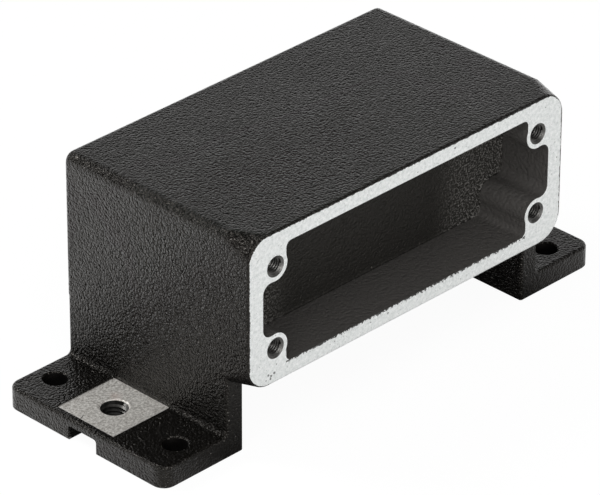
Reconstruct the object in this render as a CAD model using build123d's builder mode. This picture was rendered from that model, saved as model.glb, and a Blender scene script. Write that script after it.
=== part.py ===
from build123d import *
import os

# Surface-mount housing of a heavy duty rectangular connector: one aluminium casting.
# A low box lies on two legs with its mouth facing -Y. Each leg ends in a flange that is
# screwed to the mounting surface, and the gap under the box stays open from front to back.
# The origin is the centre of the four foot holes, on the mounting surface. Millimetres.

# Box
box_width = 124.9
box_height = 47.3
box_depth = 71.6
box_underside = 23.4
box_edge_radius = 3.0
back_edge_radius = 1.6

# Collar: the corners are round at the face and tighten to the box's own edges behind it
collar_depth = 9.0
face_corner_radius = 8.5
face_edge_radius = 0.7

# Mouth: a shallow pocket that runs round a screw boss in each corner
pocket_depth = 18.0
pocket_width = 113.4
pocket_waist_height = 16.7
pocket_waist_radius = 2.9
pocket_tall_width = 95.8
pocket_height = 37.4
pocket_corner_radius = 1.9
pocket_floor_radius = 0.6
screw_boss_radius = 4.5

# Blind tapped holes of the machined face, M5
face_hole_pitch_x = 104.0
face_hole_pitch_z = 25.46
face_thread = 5.0
face_thread_mouth = 6.4
face_hole_depth = 12.0
thread_mouth_angle = 120

# Legs: plates in line with the box's sides, set back from the face
leg_thickness = 6.4
leg_setback = 8.2

# Foot flanges
flange_thickness = 7.0
flange_corner_radius = 4.2
flange_root_radius = 1.4
foot_edge_radius = 1.0
sole_edge_chamfer = 0.3

# Foot holes, for M6 screws
foot_hole = 7.0
foot_hole_chamfer = 0.4
foot_hole_from_wall = 12.2
foot_hole_to_end = 11.8
foot_hole_to_side = 7.5

# Earth pad, milled bare on the left flange round a tapped hole, M8
pad_length = 21.7
pad_width = 22.6
pad_wall_gap = 0.15
pad_sink = 0.4
pad_setback = 41.4
earth_thread = 8.0
earth_thread_mouth = 8.9
earth_hole_from_wall = 10.65

# Slot in the underside of the left flange, open at its outer end
slot_width = 11.1
slot_height = 4.65
slot_length = 7.5
slot_corner_radius = 1.0
slot_setback = 40.3

# Places that follow from these sizes. The feet stop short of the box's back by the difference
# of the two roundings, so that the upright edges of box and leg run into each other.
leg_depth = box_depth - leg_setback - (back_edge_radius - foot_edge_radius)
leg_front_y = -leg_depth / 2
face_y = leg_front_y - leg_setback
leg_outer_x = box_width / 2
leg_inner_x = leg_outer_x - leg_thickness
leg_top_z = box_underside + face_corner_radius
foot_hole_x = leg_outer_x + foot_hole_from_wall
foot_hole_y = leg_depth / 2 - foot_hole_to_side
foot_end_x = foot_hole_x + foot_hole_to_end
pad_z = flange_thickness - pad_sink
pad_y = face_y + pad_setback
slot_y = face_y + slot_setback
pad_wall_x = leg_outer_x + pad_wall_gap
earth_hole_x = leg_outer_x + earth_hole_from_wall
face_plane = Plane((0, face_y, box_underside + box_height / 2), x_dir=(1, 0, 0), z_dir=(0, -1, 0))

# One foot: the leg and its flange share a profile. The edges are rounded all the way to the
# leg's top, which ends inside the box, and the sole's edges are only broken.
with BuildPart() as foot:
    with BuildSketch(Plane.XZ.offset(-leg_front_y)) as foot_profile:
        with BuildLine():
            Polyline(
                (leg_inner_x, 0),
                (foot_end_x, 0),
                (foot_end_x, flange_thickness),
                (leg_outer_x, flange_thickness),
                (leg_outer_x, leg_top_z),
                (leg_inner_x, leg_top_z),
                close=True,
            )
        make_face()
        flange_root = foot_profile.vertices().sort_by_distance((leg_outer_x, flange_thickness))[0]
        fillet(flange_root, flange_root_radius)
    extrude(amount=-leg_depth)
    fillet(foot.edges().filter_by(Axis.Z).group_by(Axis.X)[-1], flange_corner_radius)
    foot_ends = foot.faces().filter_by(Axis.Z).sort_by(Axis.Z)
    fillet(foot.edges() - foot_ends[0].edges() - foot_ends[-1].edges(), foot_edge_radius)
    chamfer(foot.faces().sort_by(Axis.Z)[0].edges(), sole_edge_chamfer)

with BuildPart() as housing:
    # The collar is a ruled loft from the face's outline to the box's own
    with BuildSketch(face_plane) as face_outline:
        RectangleRounded(box_width, box_height, face_corner_radius)
    with BuildSketch(face_plane.offset(-collar_depth)) as box_outline:
        RectangleRounded(box_width, box_height, box_edge_radius)
    loft(ruled=True)
    extrude(box_outline.sketch, amount=-(box_depth - collar_depth))
    fillet(housing.faces().sort_by(Axis.Y)[0].edges(), face_edge_radius)
    fillet(housing.faces().sort_by(Axis.Y)[-1].edges(), back_edge_radius)

    add(foot.part)
    mirror(foot.part, about=Plane.YZ)

    # Mouth: a tall middle, a wide waist and the corners between them, less the four bosses
    with BuildSketch(face_plane) as mouth:
        RectangleRounded(pocket_tall_width, pocket_height, pocket_corner_radius)
        RectangleRounded(pocket_width, pocket_waist_height, pocket_waist_radius)
        Rectangle(face_hole_pitch_x, face_hole_pitch_z)
        with GridLocations(face_hole_pitch_x, face_hole_pitch_z, 2, 2):
            Circle(screw_boss_radius, mode=Mode.SUBTRACT)
    extrude(amount=-pocket_depth, mode=Mode.SUBTRACT)

    pocket_back = housing.faces().sort_by_distance(face_plane.offset(-pocket_depth).origin)[0]
    fillet(pocket_back.edges(), pocket_floor_radius)

    with Locations(face_plane):
        with GridLocations(face_hole_pitch_x, face_hole_pitch_z, 2, 2):
            CounterSinkHole(
                face_thread / 2,
                face_thread_mouth / 2,
                face_hole_depth,
                counter_sink_angle=thread_mouth_angle,
            )

    with Locations((0, 0, flange_thickness)):
        with GridLocations(2 * foot_hole_x, 2 * foot_hole_y, 2, 2):
            Hole(foot_hole / 2)
    foot_hole_rims = housing.edges().filter_by(
        lambda e: e.geom_type == GeomType.CIRCLE and abs(e.radius - foot_hole / 2) < 0.001
    )
    chamfer(foot_hole_rims.group_by(Axis.Z)[-1], foot_hole_chamfer)

    # The mill takes the skin off the flange, and the foot of the fillet at the wall with it
    with Locations((-pad_wall_x, pad_y, pad_z)):
        Box(
            pad_length,
            pad_width,
            pad_sink + flange_root_radius,
            align=(Align.MAX, Align.CENTER, Align.MIN),
            mode=Mode.SUBTRACT,
        )
    with Locations((-earth_hole_x, pad_y, pad_z)):
        CounterSinkHole(
            earth_thread / 2, earth_thread_mouth / 2, counter_sink_angle=thread_mouth_angle
        )

    with BuildSketch(Plane.YZ.offset(-foot_end_x)) as slot_profile:
        with Locations((slot_y, 0)):
            Rectangle(slot_width, slot_height, align=(Align.CENTER, Align.MIN))
        fillet(slot_profile.vertices().group_by(Axis.Y)[-1], slot_corner_radius)
    extrude(amount=slot_length, mode=Mode.SUBTRACT)

housing.part.label = "housing"
os.makedirs("parts", exist_ok=True)
export_step(housing.part, "parts/housing.step")
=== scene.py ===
import math

import bpy
from mathutils import Matrix, Vector


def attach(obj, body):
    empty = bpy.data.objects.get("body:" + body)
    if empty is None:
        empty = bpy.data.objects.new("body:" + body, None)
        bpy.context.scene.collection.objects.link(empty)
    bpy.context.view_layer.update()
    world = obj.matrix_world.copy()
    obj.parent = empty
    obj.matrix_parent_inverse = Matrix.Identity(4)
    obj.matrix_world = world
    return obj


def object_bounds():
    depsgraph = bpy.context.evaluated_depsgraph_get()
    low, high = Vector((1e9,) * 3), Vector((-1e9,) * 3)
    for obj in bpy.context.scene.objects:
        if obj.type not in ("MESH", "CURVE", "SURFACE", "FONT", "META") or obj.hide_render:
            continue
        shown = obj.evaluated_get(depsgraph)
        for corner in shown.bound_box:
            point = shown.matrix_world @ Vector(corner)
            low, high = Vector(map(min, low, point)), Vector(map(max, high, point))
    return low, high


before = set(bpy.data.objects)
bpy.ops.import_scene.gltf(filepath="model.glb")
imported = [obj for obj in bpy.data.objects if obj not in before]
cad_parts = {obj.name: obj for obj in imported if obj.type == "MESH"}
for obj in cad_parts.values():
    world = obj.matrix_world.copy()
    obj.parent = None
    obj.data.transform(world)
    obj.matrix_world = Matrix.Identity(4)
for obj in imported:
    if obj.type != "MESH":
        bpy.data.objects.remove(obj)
cad_low, cad_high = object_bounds()


# Housing: one aluminium casting, blasted, powder coated black all over and baked. The mouth's
# face and the earth pad were milled bare afterwards, so the coat ends there at a raw edge.
# The CAD mesh is kept, and each of its surfaces takes the finish that it was left with.
MM = 0.001
HAIR = 0.03 * MM
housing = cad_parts["housing"]
face_y = cad_low.y
face_half_width = 61.8 * MM
face_half_height = 23.0 * MM
edge_bared = 0.45 * MM
mouth_middle_z = 47.05 * MM
pocket_depth = 18.0 * MM
pocket_corner_fillet = 0.6 * MM
pocket_half_width = 57.0 * MM
pocket_half_height = 19.0 * MM
pocket_tall_half_width = 47.9 * MM
pocket_lower_edge_z = mouth_middle_z - 18.7 * MM
face_hole_x = 52.0 * MM
face_hole_z = 12.73 * MM
face_hole_mouth_radius = 3.2 * MM
face_hole_depth = 12.0 * MM
foot_hole_x = 74.65 * MM
foot_hole_y = 23.9 * MM
foot_hole_radius = 3.5 * MM
foot_hole_rim = 0.5 * MM
flange_top_z = 7.0 * MM
pad_z = 6.6 * MM
pad_low_x, pad_high_x = -84.3 * MM, -62.6 * MM
pad_half_width = 11.3 * MM
pad_middle_y = face_y + 41.4 * MM
earth_hole_x = -73.1 * MM
earth_hole_radius = 4.0 * MM
earth_hole_mouth_radius = 4.45 * MM
faces_sideways = 0.9


def srgb(code):
    """A hex colour as the linear values that a shader takes."""
    parts = [int(code[i : i + 2], 16) / 255 for i in (1, 3, 5)]
    linear = [p / 12.92 if p <= 0.04045 else ((p + 0.055) / 1.055) ** 2.4 for p in parts]
    return (*linear, 1.0)


def add_node(tree, kind, inputs=None, **settings):
    """Adds a node, sets its properties, and fills or links its inputs by name or number.

    A node that is given as an input stands for its first output.
    """
    node = tree.nodes.new(kind)
    for name, value in settings.items():
        setattr(node, name, value)
    for name, value in (inputs or {}).items():
        if isinstance(value, bpy.types.Node):
            value = value.outputs[0]
        if isinstance(value, bpy.types.NodeSocket):
            tree.links.new(value, node.inputs[name])
        else:
            node.inputs[name].default_value = value
    return node


def empty_material(name):
    """A node material with nothing in it yet."""
    material = bpy.data.materials.new(name)
    material.use_nodes = True
    material.node_tree.nodes.clear()
    return material, material.node_tree


# Epoxy powder, sprayed dry and cured. A textured grade draws up into rounded pebbles, here about
# 0.7 mm wide, with narrow creases between them, whose flanks catch the light one by one. It is all
# but black, its gloss is that of hard plastic and drifts a little over the part, and a little of
# the white dust of handling stays in it.
def powder_coat(name, colour, pebble_mm, pebble_height_mm, roughness, specular, dust):
    """A powder coat: noise pushes the pebbles out of line, and slower swells lift some of them."""
    waver_size = 2.0 * pebble_mm * MM
    waver_push = 1.2 * pebble_mm * MM
    swells_per_pebble = 0.8
    gloss_cloud_size = 11 * MM
    gloss_drift = 0.03
    speck_size = 0.45 * MM
    dust_colour = "#6f6d6a"
    material, tree = empty_material(name)
    place = add_node(tree, "ShaderNodeTexCoord").outputs["Object"]
    waver = add_node(
        tree, "ShaderNodeTexNoise", {"Vector": place, "Scale": 1 / waver_size, "Detail": 1.0}
    )
    pushed = add_node(
        tree,
        "ShaderNodeVectorMath",
        {0: waver.outputs["Color"], "Scale": waver_push},
        operation="SCALE",
    )
    wavered = add_node(tree, "ShaderNodeVectorMath", {0: place, 1: pushed}, operation="ADD")
    pebbles = add_node(
        tree,
        "ShaderNodeTexVoronoi",
        {"Vector": wavered, "Scale": 1 / (pebble_mm * MM)},
        feature="F1",
    )
    dome = add_node(
        tree, "ShaderNodeMath", {0: pebbles.outputs["Distance"], 1: 2.0}, operation="POWER"
    )
    swell = add_node(
        tree,
        "ShaderNodeTexNoise",
        {
            "Vector": place,
            "Scale": swells_per_pebble / (pebble_mm * MM),
            "Detail": 1.0,
            "Roughness": 0.4,
        },
    )
    height = add_node(
        tree, "ShaderNodeMath", {0: swell.outputs["Fac"], 1: dome}, operation="SUBTRACT"
    )
    bump = add_node(
        tree,
        "ShaderNodeBump",
        {"Height": height, "Distance": pebble_height_mm * MM, "Strength": 1.0},
    )
    cloud = add_node(
        tree, "ShaderNodeTexNoise", {"Vector": place, "Scale": 1 / gloss_cloud_size, "Detail": 3.0}
    )
    gloss = add_node(
        tree,
        "ShaderNodeMapRange",
        {
            "Value": cloud.outputs["Fac"],
            "From Min": 0.3,
            "From Max": 0.7,
            "To Min": roughness - gloss_drift,
            "To Max": roughness + gloss_drift,
        },
    )
    specks = add_node(
        tree,
        "ShaderNodeTexNoise",
        {"Vector": place, "Scale": 1 / speck_size, "Detail": 2.0, "Roughness": 0.7},
    )
    dusty = add_node(
        tree,
        "ShaderNodeMapRange",
        {"Value": specks.outputs["Fac"], "From Min": 0.60, "From Max": 0.72, "To Max": dust},
    )
    tone = add_node(
        tree,
        "ShaderNodeMix",
        {"Factor": dusty, "A": srgb(colour), "B": srgb(dust_colour)},
        data_type="RGBA",
    )
    shader = add_node(
        tree,
        "ShaderNodeBsdfPrincipled",
        {
            "Base Color": tone.outputs["Result"],
            "Roughness": gloss,
            "Normal": bump,
            "IOR": 1.5,
            "Specular IOR Level": specular,
            "Specular Tint": srgb("#fff8ee"),
        },
    )
    add_node(tree, "ShaderNodeOutputMaterial", {"Surface": shader})
    return material


# Top, back, underside and flanges: low pebbles that gleam softly, nearly black
outer_coat = powder_coat(
    "powder_coat_textured",
    "#060504",
    pebble_mm=0.68,
    pebble_height_mm=0.25,
    roughness=0.12,
    specular=0.29,
    dust=0.04,
)

# Side walls: the powder went on thicker, so its pebbles stand higher and glitter more
side_coat = powder_coat(
    "powder_coat_on_sides",
    "#060504",
    pebble_mm=0.66,
    pebble_height_mm=0.44,
    roughness=0.12,
    specular=0.31,
    dust=0.04,
)

# Walls of the mouth: little powder gets in there, so the coat is thin, smooth and charcoal grey.
# Its grey is partly painted light, for the light that falls on the walls.
mouth_coat = powder_coat(
    "powder_coat_mouth_walls",
    "#4d4b49",
    pebble_mm=1.0,
    pebble_height_mm=0.16,
    roughness=0.30,
    specular=0.5,
    dust=0.03,
)

# Back of the mouth: dry and dull, with the grain of the cast skin in it. Its tone, darker than the
# walls', is painted shade of the deep back.
back_coat = powder_coat(
    "powder_coat_mouth_back",
    "#21201e",
    pebble_mm=0.7,
    pebble_height_mm=0.26,
    roughness=0.35,
    specular=0.2,
    dust=0.08,
)

# Foot holes: a dull black film
bore_coat = powder_coat(
    "powder_coat_in_bores",
    "#080707",
    pebble_mm=1.0,
    pebble_height_mm=0.05,
    roughness=0.6,
    specular=0.15,
    dust=0.0,
)


# Die-cast aluminium, milled flat with a wide cutter: pale, satin, with the faint clouds of the
# cast metal. Oxide makes it a little chalky, so it isn't all mirror.
def milled_aluminium(name, colour, dark_colour, mottle_mm, roughness, metallic, grit_height_mm):
    """Cut aluminium: clouds between its two colours, and a fine grit that softens its gloss."""
    grit_size = 0.5 * MM
    material, tree = empty_material(name)
    place = add_node(tree, "ShaderNodeTexCoord").outputs["Object"]
    cloud = add_node(
        tree,
        "ShaderNodeTexNoise",
        {"Vector": place, "Scale": 1 / (mottle_mm * MM), "Detail": 6.0, "Roughness": 0.75},
    )
    spread = add_node(
        tree,
        "ShaderNodeMapRange",
        {"Value": cloud.outputs["Fac"], "From Min": 0.35, "From Max": 0.65},
    )
    tone = add_node(
        tree,
        "ShaderNodeMix",
        {"Factor": spread, "A": srgb(dark_colour), "B": srgb(colour)},
        data_type="RGBA",
    )
    grit = add_node(
        tree,
        "ShaderNodeTexNoise",
        {"Vector": place, "Scale": 1 / grit_size, "Detail": 3.0, "Roughness": 0.6},
    )
    bump = add_node(
        tree,
        "ShaderNodeBump",
        {"Height": grit.outputs["Fac"], "Distance": grit_height_mm * MM, "Strength": 1.0},
    )
    shader = add_node(
        tree,
        "ShaderNodeBsdfPrincipled",
        {
            "Base Color": tone.outputs["Result"],
            "Metallic": metallic,
            "Roughness": roughness,
            "Normal": bump,
        },
    )
    add_node(tree, "ShaderNodeOutputMaterial", {"Surface": shader})
    return material


# Face: nearly white, it mirrors the table as one soft pale sheet
bare_face = milled_aluminium(
    "milled_aluminium_face",
    "#fcfdfc",
    "#d6dad8",
    mottle_mm=1.1,
    roughness=0.45,
    metallic=0.5,
    grit_height_mm=0.04,
)

# Earth pad: warmer, duller and more mottled, since it has been in use
bare_pad = milled_aluminium(
    "milled_aluminium_pad",
    "#fffdf8",
    "#a29d96",
    mottle_mm=0.75,
    roughness=0.6,
    metallic=0.7,
    grit_height_mm=0.05,
)

# Threads and their mouths: torn by the tap and never bright, dark grey with pale crests. The dark
# grey is partly painted shade of the bores.
bare_bore = milled_aluminium(
    "tapped_aluminium",
    "#6e6d6b",
    "#484745",
    mottle_mm=1.0,
    roughness=0.36,
    metallic=0.95,
    grit_height_mm=0.03,
)


def lay_flaws_and_painted_light(material, mask, colour, dent_mm):
    """Lays a flaw or painted light on a finish where mask is 1: own colour, not metallic, sunk a
    little.
    """
    tree = material.node_tree
    shader = next(n for n in tree.nodes if n.type == "BSDF_PRINCIPLED")
    tone = shader.inputs["Base Color"].links[0].from_socket
    over = add_node(
        tree,
        "ShaderNodeMix",
        {"Factor": mask, "A": tone, "B": srgb(colour)},
        data_type="RGBA",
    )
    tree.links.new(over.outputs["Result"], shader.inputs["Base Color"])
    metal = shader.inputs["Metallic"].links
    sheen = metal[0].from_socket if metal else shader.inputs["Metallic"].default_value
    sound = add_node(tree, "ShaderNodeMath", {0: 1.0, 1: mask}, operation="SUBTRACT")
    shiny = add_node(tree, "ShaderNodeMath", {0: sound, 1: sheen}, operation="MULTIPLY")
    tree.links.new(shiny.outputs[0], shader.inputs["Metallic"])
    grain = shader.inputs["Normal"].links[0].from_socket
    dent = add_node(
        tree, "ShaderNodeBump", {"Height": sound, "Distance": dent_mm * MM, "Normal": grain}
    )
    tree.links.new(dent.outputs[0], shader.inputs["Normal"])


def ragged_strip(tree, place, inside, coarse_mm, width_mm):
    """1 where inside, in metres from an edge, is less than a width that frays along the edge."""
    fray = add_node(
        tree,
        "ShaderNodeTexNoise",
        {"Vector": place, "Scale": 1 / (coarse_mm * MM), "Detail": 4.0, "Roughness": 0.7},
    )
    width = add_node(
        tree,
        "ShaderNodeMapRange",
        {
            "Value": fray.outputs["Fac"],
            "From Min": 0.42,
            "From Max": 0.68,
            "To Max": width_mm * MM,
        },
    )
    return add_node(tree, "ShaderNodeMath", {0: inside, 1: width}, operation="LESS_THAN")


# Where the cutter left the coat: chips along the pocket's lower rim, and a thin broken line along
# the sides and the top of the face
rim_overhang = 0.1 * MM
face_top_z = mouth_middle_z + face_half_height
tree = bare_face.node_tree
place = add_node(tree, "ShaderNodeTexCoord").outputs["Object"]
apart = add_node(tree, "ShaderNodeSeparateXYZ", {0: place})
sideways = add_node(tree, "ShaderNodeMath", {0: apart.outputs["X"]}, operation="ABSOLUTE")
below_rim = add_node(
    tree,
    "ShaderNodeMath",
    {0: pocket_lower_edge_z, 1: apart.outputs["Z"]},
    operation="SUBTRACT",
)
in_middle = add_node(
    tree, "ShaderNodeMath", {0: sideways, 1: pocket_tall_half_width}, operation="LESS_THAN"
)
under_rim = add_node(
    tree, "ShaderNodeMath", {0: below_rim, 1: -rim_overhang}, operation="GREATER_THAN"
)
chips = ragged_strip(tree, place, below_rim, coarse_mm=0.7, width_mm=1.1)
chips = add_node(tree, "ShaderNodeMath", {0: chips, 1: in_middle}, operation="MULTIPLY")
chips = add_node(tree, "ShaderNodeMath", {0: chips, 1: under_rim}, operation="MULTIPLY")
side_gap = add_node(
    tree, "ShaderNodeMath", {0: face_half_width, 1: sideways}, operation="SUBTRACT"
)
top_gap = add_node(
    tree, "ShaderNodeMath", {0: face_top_z, 1: apart.outputs["Z"]}, operation="SUBTRACT"
)
edge_gap = add_node(tree, "ShaderNodeMath", {0: side_gap, 1: top_gap}, operation="MINIMUM")
edge_line = ragged_strip(tree, place, edge_gap, coarse_mm=1.4, width_mm=0.35)
coat_left = add_node(tree, "ShaderNodeMath", {0: chips, 1: edge_line}, operation="MAXIMUM")
lay_flaws_and_painted_light(bare_face, coat_left, "#2b2a29", dent_mm=0.05)

# Open pores of the casting, as the cutter laid them bare: dark pits, thickest in one lower corner.
# Each is given by its place from the mouth's middle, to the right and up, and its radius, in mm.
pore_list = [
    (-54.7, -20.3, 0.34),
    (-53.6, -20.9, 0.40),
    (-52.4, -20.4, 0.42),
    (-55.6, -21.6, 0.26),
    (-53.9, -21.7, 0.36),
    (-51.6, -18.0, 0.20),
    (-47.0, -17.6, 0.16),
    (-8.0, -20.4, 0.30),
    (-14.8, -20.4, 0.22),
    (-29.0, -20.4, 0.20),
    (17.9, 21.5, 0.34),
    (3.1, 19.8, 0.20),
    (55.0, 20.0, 0.18),
    (60.3, 2.0, 0.22),
]
pore_fray_size = 0.4 * MM
pore_fray_depth = 0.3 * MM
pore_edge = 0.18 * MM
pore_floor = 0.08 * MM
nearest = None
for pore_x, pore_z, pore_radius in pore_list:
    pore_middle = (pore_x * MM, face_y, mouth_middle_z + pore_z * MM)
    away = add_node(tree, "ShaderNodeVectorMath", {0: place, 1: pore_middle}, operation="DISTANCE")
    away = add_node(
        tree,
        "ShaderNodeMath",
        {0: away.outputs["Value"], 1: pore_radius * MM},
        operation="SUBTRACT",
    )
    if nearest is None:
        nearest = away
    else:
        nearest = add_node(tree, "ShaderNodeMath", {0: nearest, 1: away}, operation="MINIMUM")
pore_fray = add_node(
    tree, "ShaderNodeTexNoise", {"Vector": place, "Scale": 1 / pore_fray_size, "Detail": 2.0}
)
pore_fray = add_node(
    tree,
    "ShaderNodeMath",
    {0: pore_fray.outputs["Fac"], 1: pore_fray_depth},
    operation="MULTIPLY",
)
nearest = add_node(tree, "ShaderNodeMath", {0: nearest, 1: pore_fray}, operation="ADD")
pores = add_node(
    tree,
    "ShaderNodeMapRange",
    {"Value": nearest, "From Min": pore_edge, "From Max": pore_floor, "To Max": 0.85},
)

# Pinholes: much finer, and strewn over the whole face
pinhole_size = 0.5 * MM
pinhole_spread = add_node(
    tree,
    "ShaderNodeTexNoise",
    {"Vector": place, "Scale": 1 / pinhole_size, "Detail": 1.0, "Roughness": 0.5},
)
pinholes = add_node(
    tree,
    "ShaderNodeMapRange",
    {
        "Value": pinhole_spread.outputs["Fac"],
        "From Min": 0.68,
        "From Max": 0.76,
        "To Max": 0.5,
    },
)
pitted = add_node(tree, "ShaderNodeMath", {0: pores, 1: pinholes}, operation="MAXIMUM")
lay_flaws_and_painted_light(bare_face, pitted, "#4c4c4b", dent_mm=0.1)

# The earth pad has been used: a reddish stain beside the hole, and a scratch by the outer edge
stain_middle = (-68.8 * MM, 5.8 * MM, pad_z)
stain_fray_size = 2.5 * MM
stain_fray_depth = 5.0 * MM
stain_edge = 5.0 * MM
stain_core = 2.0 * MM
tree = bare_pad.node_tree
place = add_node(tree, "ShaderNodeTexCoord").outputs["Object"]
from_stain = add_node(
    tree, "ShaderNodeVectorMath", {0: place, 1: stain_middle}, operation="DISTANCE"
)
stain_fray = add_node(
    tree, "ShaderNodeTexNoise", {"Vector": place, "Scale": 1 / stain_fray_size, "Detail": 4.0}
)
stain_fray = add_node(
    tree,
    "ShaderNodeMath",
    {0: stain_fray.outputs["Fac"], 1: stain_fray_depth},
    operation="MULTIPLY",
)
stain_reach = add_node(
    tree,
    "ShaderNodeMath",
    {0: from_stain.outputs["Value"], 1: stain_fray},
    operation="ADD",
)
stain = add_node(
    tree,
    "ShaderNodeMapRange",
    {"Value": stain_reach, "From Min": stain_edge, "From Max": stain_core, "To Max": 0.45},
)
lay_flaws_and_painted_light(bare_pad, stain, "#9a7d70", dent_mm=0.0)

scratch_middle = (-82.9 * MM, 4.4 * MM, 0.0)
scratch_turn = math.radians(25)
scratch_half_length = 1.3 * MM
scratch_half_width = 0.09 * MM
turned = add_node(
    tree,
    "ShaderNodeMapping",
    {"Vector": place, "Location": scratch_middle, "Rotation": (0.0, 0.0, scratch_turn)},
    vector_type="TEXTURE",
)
turned = add_node(tree, "ShaderNodeSeparateXYZ", {0: turned})
along = add_node(tree, "ShaderNodeMath", {0: turned.outputs["X"]}, operation="ABSOLUTE")
aside = add_node(tree, "ShaderNodeMath", {0: turned.outputs["Y"]}, operation="ABSOLUTE")
in_length = add_node(
    tree, "ShaderNodeMath", {0: along, 1: scratch_half_length}, operation="LESS_THAN"
)
in_width = add_node(
    tree, "ShaderNodeMath", {0: aside, 1: scratch_half_width}, operation="LESS_THAN"
)
scratch = add_node(tree, "ShaderNodeMath", {0: in_length, 1: in_width}, operation="MULTIPLY")
lay_flaws_and_painted_light(bare_pad, scratch, "#3a3836", dent_mm=0.05)

# Towards both ends of the mouth's back, the coat is painted grey in spots: a painted pool of light
# on the rough grain there, with the spots sunk a little as grain.
painted_light_start_x = 27 * MM
painted_light_full_x = 43 * MM
spot_size = 0.6 * MM
tree = back_coat.node_tree
place = add_node(tree, "ShaderNodeTexCoord").outputs["Object"]
apart = add_node(tree, "ShaderNodeSeparateXYZ", {0: place})
sideways = add_node(tree, "ShaderNodeMath", {0: apart.outputs["X"]}, operation="ABSOLUTE")
painted_light_rise = add_node(
    tree,
    "ShaderNodeMapRange",
    {"Value": sideways, "From Min": painted_light_start_x, "From Max": painted_light_full_x},
    interpolation_type="SMOOTHSTEP",
)
spot_noise = add_node(
    tree, "ShaderNodeTexNoise", {"Vector": place, "Scale": 1 / spot_size, "Detail": 1.0}
)
painted_lit_spots = add_node(
    tree,
    "ShaderNodeMapRange",
    {"Value": spot_noise.outputs["Fac"], "From Min": 0.49, "From Max": 0.62},
)
skin_and_painted_light = add_node(tree, "ShaderNodeMath", {0: painted_light_rise, 1: painted_lit_spots}, operation="MULTIPLY")
lay_flaws_and_painted_light(back_coat, skin_and_painted_light, "#6a6865", dent_mm=0.1)

finishes = [
    outer_coat,
    side_coat,
    mouth_coat,
    back_coat,
    bore_coat,
    bare_face,
    bare_pad,
    bare_bore,
]
housing.data.materials.clear()
for finish in finishes:
    housing.data.materials.append(finish)


def finish_of(polygon):
    """The finish of one face of the casting, by where it lies and which way it looks.

    The cutter ran over the face's lower edge too, so the metal shows bare round it.
    """
    x, y, z = polygon.center
    from_face = y - face_y
    from_face_hole = math.hypot(abs(x) - face_hole_x, abs(z - mouth_middle_z) - face_hole_z)
    from_earth_hole = math.hypot(x - earth_hole_x, y - pad_middle_y)
    from_foot_hole = math.hypot(abs(x) - foot_hole_x, abs(y) - foot_hole_y)
    lower_edge = z < mouth_middle_z - face_half_height and abs(x) < face_hole_x
    if from_face < HAIR or (lower_edge and from_face < edge_bared):
        return bare_face
    # The face holes' mouths take the threads' dark grey: partly painted shade in the holes.
    if from_face_hole < face_hole_mouth_radius + HAIR and from_face < face_hole_depth + HAIR:
        return bare_bore
    if z < pad_z - HAIR and from_earth_hole < earth_hole_mouth_radius + HAIR:
        return bare_pad if from_earth_hole > earth_hole_radius + HAIR else bare_bore
    over_pad = pad_low_x - HAIR < x < pad_high_x + HAIR
    beside_pad = abs(y - pad_middle_y) < pad_half_width + HAIR
    if abs(z - pad_z) < HAIR and over_pad and beside_pad:
        return bare_pad
    if from_foot_hole < foot_hole_radius + HAIR and z < flange_top_z - foot_hole_rim:
        return bore_coat
    low_enough = abs(z - mouth_middle_z) < pocket_half_height
    if abs(x) < pocket_half_width and low_enough and from_face < pocket_depth + HAIR:
        # The back's corner fillet takes the back's darker tone too: painted shade in the corner.
        at_back = from_face > pocket_depth - pocket_corner_fillet - HAIR
        return back_coat if at_back else mouth_coat
    return side_coat if abs(polygon.normal.x) > faces_sideways else outer_coat


for polygon in housing.data.polygons:
    polygon.material_index = finishes.index(finish_of(polygon))


# Threads: M5 in the four face holes and M8 in the earth hole, cut by a tap into the bare metal.
# The CAD bores are as wide as the thread itself, so its ridges stand inwards from their walls.
# Each ridge is one closed coil, and starts a little way below the hole's mouth.
face_thread_radius = 2.5 * MM
face_thread_pitch = 0.8 * MM
face_thread_turns = 13
face_thread_start = 0.6 * MM
earth_thread_pitch = 1.25 * MM
earth_thread_turns = 4
earth_thread_start = 0.75 * MM
steps_per_turn = 32
root_in_wall = 0.04 * MM
ridge_size = 0.40
weld_gap = 0.001 * MM
smooth_up_to = math.radians(35)


def thread_ridge(name, bore_radius, pitch, turns, start, turn_to_axis):
    """The ridge of one tapped hole: a triangle wound up from start, with its ends closed."""
    circumradius = ridge_size * pitch
    bpy.ops.object.select_all(action="DESELECT")
    bpy.ops.mesh.primitive_circle_add(
        vertices=3,
        radius=circumradius,
        location=(bore_radius + root_in_wall - circumradius / 2, 0, 0),
        rotation=(0, -math.pi / 2, math.pi / 2),
    )
    ridge = bpy.context.object
    ridge.name = name
    bpy.ops.object.transform_apply(location=True, rotation=True, scale=True)
    winding = ridge.modifiers.new("winding", "SCREW")
    winding.angle = 2 * math.pi
    winding.screw_offset = pitch
    winding.iterations = turns
    winding.steps = winding.render_steps = steps_per_turn
    winding.use_merge_vertices = False
    bpy.ops.object.modifier_apply(modifier=winding.name)
    bpy.ops.object.mode_set(mode="EDIT")
    bpy.ops.mesh.select_all(action="SELECT")
    bpy.ops.mesh.remove_doubles(threshold=weld_gap)
    bpy.ops.mesh.select_all(action="DESELECT")
    bpy.ops.mesh.select_non_manifold()
    bpy.ops.mesh.fill_holes(sides=3)
    bpy.ops.mesh.select_all(action="SELECT")
    bpy.ops.mesh.normals_make_consistent(inside=False)
    bpy.ops.object.mode_set(mode="OBJECT")
    ridge.rotation_euler = turn_to_axis
    ridge.location = start
    bpy.ops.object.transform_apply(location=True, rotation=True, scale=True)
    bpy.ops.object.shade_smooth_by_angle(angle=smooth_up_to)
    ridge.data.materials.clear()
    ridge.data.materials.append(bare_bore)
    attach(ridge, "root")


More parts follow.
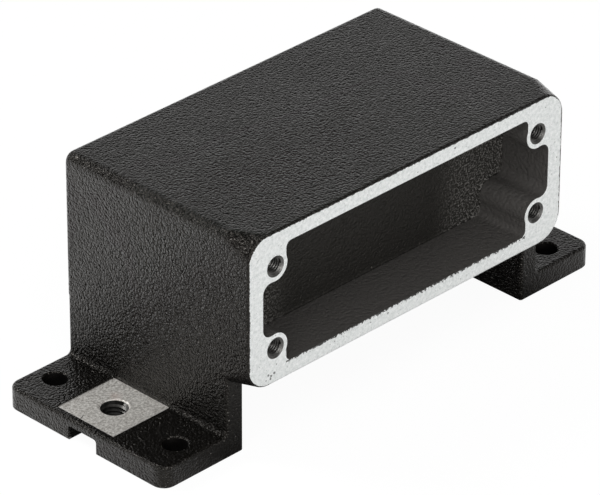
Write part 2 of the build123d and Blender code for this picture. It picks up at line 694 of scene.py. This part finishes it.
into_the_face = (-math.pi / 2, 0, 0)
for number, (side, level) in enumerate([(-1, -1), (1, -1), (-1, 1), (1, 1)], start=1):
    thread_ridge(
        f"face_thread_{number}",
        face_thread_radius,
        face_thread_pitch,
        face_thread_turns,
        Vector(
            (
                side * face_hole_x,
                face_y + face_thread_start,
                mouth_middle_z + level * face_hole_z,
            )
        ),
        into_the_face,
    )

down_the_pad = (math.pi, 0, 0)
thread_ridge(
    "earth_thread",
    earth_hole_radius,
    earth_thread_pitch,
    earth_thread_turns,
    Vector((earth_hole_x, pad_middle_y, pad_z - earth_thread_start)),
    down_the_pad,
)


# Studio: a white table that keeps a soft shadow. What the part mirrors of it is brightest behind
# the part, dimmer in front, and all but dark below the box and the feet, where little light gets.
# The lens sees it as plain white.
table_size = 8.0
glow_start_y, glow_full_y = -50 * MM, 40 * MM
glow_in_front, glow_behind = 0.84, 1.45
under_box_x, under_box_y = 62 * MM, 36 * MM
under_feet_x, under_feet_y = 85 * MM, 31 * MM
shade_reach = 30 * MM
glow_beside_box = 0.12
glow_under_feet = 0.05
seen_glow = 1.08
glow_share_seen = 0.88
glow_share_mirrored = 0.9

bpy.ops.object.select_all(action="DESELECT")
bpy.ops.mesh.primitive_plane_add(size=table_size, location=(0, 0, cad_low.z))
floor = bpy.context.object
floor.name = "floor"

floor_white, tree = empty_material("studio_table")
place = add_node(tree, "ShaderNodeTexCoord").outputs["Object"]
apart = add_node(tree, "ShaderNodeSeparateXYZ", {0: place})
to_back = add_node(
    tree,
    "ShaderNodeMapRange",
    {
        "Value": apart.outputs["Y"],
        "From Min": glow_start_y,
        "From Max": glow_full_y,
        "To Min": glow_in_front,
        "To Max": glow_behind,
    },
)
to_side = add_node(tree, "ShaderNodeMath", {0: apart.outputs["X"]}, operation="ABSOLUTE")
to_end = add_node(tree, "ShaderNodeMath", {0: apart.outputs["Y"]}, operation="ABSOLUTE")
beside = add_node(tree, "ShaderNodeMath", {0: to_side, 1: under_box_x}, operation="SUBTRACT")
before = add_node(tree, "ShaderNodeMath", {0: to_end, 1: under_box_y}, operation="SUBTRACT")
from_box = add_node(tree, "ShaderNodeMath", {0: beside, 1: before}, operation="MAXIMUM")
clear_of_box = add_node(
    tree,
    "ShaderNodeMapRange",
    {"Value": from_box, "From Min": 0.0, "From Max": shade_reach, "To Min": glow_beside_box},
)
past_side = add_node(
    tree, "ShaderNodeMath", {0: to_side, 1: under_feet_x}, operation="GREATER_THAN"
)
past_end = add_node(tree, "ShaderNodeMath", {0: to_end, 1: under_feet_y}, operation="GREATER_THAN")
off_feet = add_node(tree, "ShaderNodeMath", {0: past_side, 1: past_end}, operation="MAXIMUM")
off_feet = add_node(tree, "ShaderNodeMath", {0: off_feet, 1: glow_under_feet}, operation="MAXIMUM")
glow_level = add_node(tree, "ShaderNodeMath", {0: to_back, 1: clear_of_box}, operation="MULTIPLY")
glow_level = add_node(tree, "ShaderNodeMath", {0: glow_level, 1: off_feet}, operation="MULTIPLY")

rays = add_node(tree, "ShaderNodeLightPath")
mirrored = add_node(
    tree,
    "ShaderNodeMath",
    {0: rays.outputs["Is Glossy Ray"], 1: rays.outputs["Is Transmission Ray"]},
    operation="MAXIMUM",
)
extra = add_node(tree, "ShaderNodeMath", {0: glow_level, 1: seen_glow}, operation="SUBTRACT")
extra = add_node(tree, "ShaderNodeMath", {0: extra, 1: mirrored}, operation="MULTIPLY")
strength = add_node(tree, "ShaderNodeMath", {0: extra, 1: seen_glow}, operation="ADD")
matt = add_node(tree, "ShaderNodeBsdfDiffuse", {"Color": srgb("#c6c6c6")})
glow = add_node(tree, "ShaderNodeEmission", {"Color": srgb("#ffffff"), "Strength": strength})
seen_share = add_node(
    tree,
    "ShaderNodeMath",
    {0: rays.outputs["Is Camera Ray"], 1: glow_share_seen},
    operation="MULTIPLY",
)
mirrored_share = add_node(
    tree, "ShaderNodeMath", {0: mirrored, 1: glow_share_mirrored}, operation="MULTIPLY"
)
share = add_node(
    tree, "ShaderNodeMath", {0: seen_share, 1: mirrored_share}, operation="MAXIMUM"
)
lit = add_node(tree, "ShaderNodeMixShader", {0: share, 1: matt, 2: glow})
add_node(tree, "ShaderNodeOutputMaterial", {"Surface": lit})
floor.data.materials.append(floor_white)

# The room: how bright it is on each side, low down, at the height of the eye, and high up. It is
# lightest low behind the part and nearly dark on the left. A height is the sine of its elevation.
room_light = [
    ("X", -1.0, (0.2, 0.1, 0.05)),
    ("X", 1.0, (0.65, 0.35, 0.1)),
    ("Y", 1.0, (0.95, 0.55, 0.1)),
    ("Y", -1.0, (0.15, 0.4, 0.2)),
]
eye_start, eye_full = 0.15, 0.45
overhead_start, overhead_full = 0.55, 0.8

world = bpy.data.worlds.new("studio")
bpy.context.scene.world = world
world.use_nodes = True
tree = world.node_tree
tree.nodes.clear()
ray = add_node(tree, "ShaderNodeTexCoord").outputs["Generated"]
rise = add_node(tree, "ShaderNodeSeparateXYZ", {0: ray}).outputs["Z"]
level_ray = add_node(tree, "ShaderNodeVectorMath", {0: ray, 1: (1, 1, 0)}, operation="MULTIPLY")
bearing = add_node(tree, "ShaderNodeVectorMath", {0: level_ray}, operation="NORMALIZE")
towards = add_node(tree, "ShaderNodeSeparateXYZ", {0: bearing})
room_level = None
for axis, sign, (low, middle, high) in room_light:
    over_eye = add_node(
        tree,
        "ShaderNodeMapRange",
        {"Value": rise, "From Min": eye_start, "From Max": eye_full, "To Max": middle - low},
        interpolation_type="SMOOTHSTEP",
    )
    over_head = add_node(
        tree,
        "ShaderNodeMapRange",
        {
            "Value": rise,
            "From Min": overhead_start,
            "From Max": overhead_full,
            "To Max": high - middle,
        },
        interpolation_type="SMOOTHSTEP",
    )
    wall = add_node(tree, "ShaderNodeMath", {0: over_eye, 1: over_head}, operation="ADD")
    wall = add_node(tree, "ShaderNodeMath", {0: wall, 1: low}, operation="ADD")
    ahead = add_node(
        tree, "ShaderNodeMath", {0: towards.outputs[axis], 1: sign}, operation="MULTIPLY"
    )
    ahead = add_node(tree, "ShaderNodeMath", {0: ahead, 1: 0.0}, operation="MAXIMUM")
    ahead = add_node(tree, "ShaderNodeMath", {0: ahead, 1: ahead}, operation="MULTIPLY")
    wall = add_node(tree, "ShaderNodeMath", {0: ahead, 1: wall}, operation="MULTIPLY")
    if room_level is None:
        room_level = wall
    else:
        room_level = add_node(tree, "ShaderNodeMath", {0: room_level, 1: wall}, operation="ADD")
room = add_node(
    tree, "ShaderNodeBackground", {"Color": srgb("#ffffff"), "Strength": room_level}
)
add_node(tree, "ShaderNodeOutputWorld", {"Surface": room})

# Three lamps: a wide soft one over the camera, a small one high behind on the left, and a low one
# in front that fills the mouth. Each has its place, its size in metres and its watts.
lamp_target = Vector((0, 0, 30 * MM))
lamps = [
    ("front_lamp", (-0.9, -0.7, 1.3), 1.2, 14.0),
    ("back_lamp", (-0.6, 0.9, 1.2), 0.5, 9.0),
    ("low_lamp", (-0.5, -1.3, 0.28), 0.5, 8.5),
]
for name, lamp_place, lamp_size, lamp_watts in lamps:
    bpy.ops.object.light_add(type="AREA", location=lamp_place)
    lamp = bpy.context.object
    lamp.name = name
    lamp.data.shape = "SQUARE"
    lamp.data.size = lamp_size
    lamp.data.energy = lamp_watts
    to_part = lamp_target - Vector(lamp_place)
    lamp.rotation_euler = to_part.to_track_quat("-Z", "Y").to_euler()

# Camera: the angle, distance and lens that were fitted to the photograph's edges and holes
azimuth = math.radians(45.45)
elevation = math.radians(30.122)
roll = math.radians(0.211)
focal_pixels = 5043.08
image_width = 600
sensor_width = 36.0
distance = 1410.3 * MM
shift_right, shift_up = 5.054 * MM, 8.679 * MM
aim = Vector((0, face_y + 35 * MM, 40 * MM))

level_right = Vector((math.cos(azimuth), -math.sin(azimuth), 0))
forward = Vector(
    (
        math.sin(azimuth) * math.cos(elevation),
        math.cos(azimuth) * math.cos(elevation),
        -math.sin(elevation),
    )
)
level_up = level_right.cross(forward)
right = math.cos(roll) * level_right + math.sin(roll) * level_up
up = math.cos(roll) * level_up - math.sin(roll) * level_right

bpy.ops.object.camera_add()
camera = bpy.context.object
camera.data.sensor_width = sensor_width
camera.data.lens = sensor_width * focal_pixels / image_width
camera.data.clip_start, camera.data.clip_end = 0.1, 20.0
stand = aim - shift_right * right - shift_up * up - distance * forward
turn = Matrix((right, up, -forward)).transposed().to_4x4()
camera.matrix_world = Matrix.Translation(stand) @ turn
bpy.context.scene.camera = camera
bpy.context.scene.view_settings.view_transform = "Standard"
